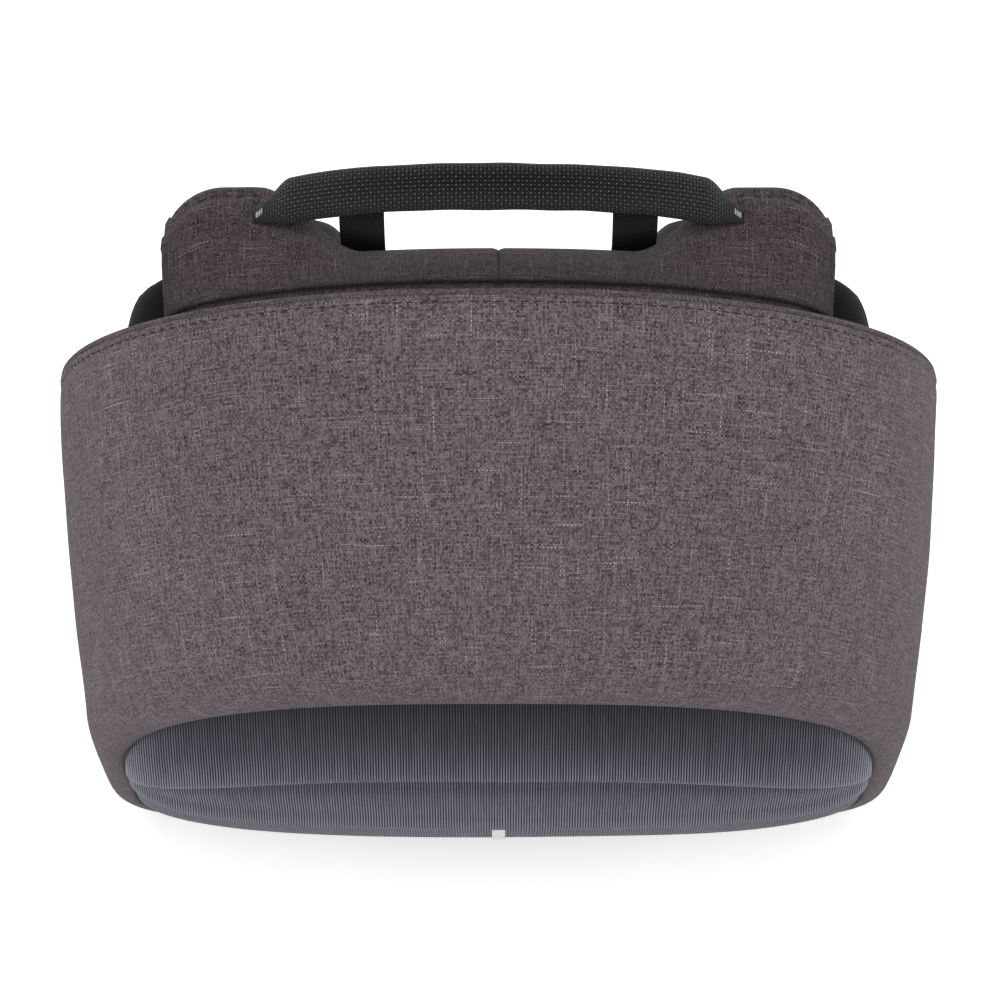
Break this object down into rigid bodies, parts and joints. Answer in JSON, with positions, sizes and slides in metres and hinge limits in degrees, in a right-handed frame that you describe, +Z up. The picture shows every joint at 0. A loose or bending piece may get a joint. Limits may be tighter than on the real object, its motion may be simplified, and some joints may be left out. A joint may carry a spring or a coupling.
{
  "type": "anti theft backpack",
  "caption": "Slim upright backpack with a padded hood-like shell, a bulging ribbed front, a padded mesh back, shoulder straps and a carrying handle.",
  "frame": {"origin": "middle of the flat base, which the bag stands on", "axes": "+Z up along the bag, -Y out of the ribbed front, +Y out of the back and straps, +X across the bag"},
  "size_m": [0.303, 0.201, 0.476],
  "materials": {
    "melange_cloth": "matt weave",
    "ribbed_cloth": "fine ribs",
    "mesh_cloth": "air mesh",
    "webbing": "woven",
    "black_plastic": "satin",
    "reflective_tape": "silver satin"
  },
  "bodies": {
    "root": {"shell": "melange_cloth", "rim_piping": "melange_cloth", "yoke_left": "melange_cloth", "yoke_right": "melange_cloth", "shoulder_strap_left": "melange_cloth", "shoulder_strap_right": "melange_cloth", "corner_tab_left": "melange_cloth", "corner_tab_right": "melange_cloth", "front_panel": "ribbed_cloth", "reflective_strip": "reflective_tape", "back_panel": "mesh_cloth", "strap_lining_left": "mesh_cloth", "strap_buckle_left": "black_plastic", "strap_webbing_left": "webbing", "handle_tab_left": "webbing", "strap_lining_right": "mesh_cloth", "strap_buckle_right": "black_plastic", "strap_webbing_right": "webbing", "handle_tab_right": "webbing", "handle_grip": "webbing"}
  },
  "joints": []
}
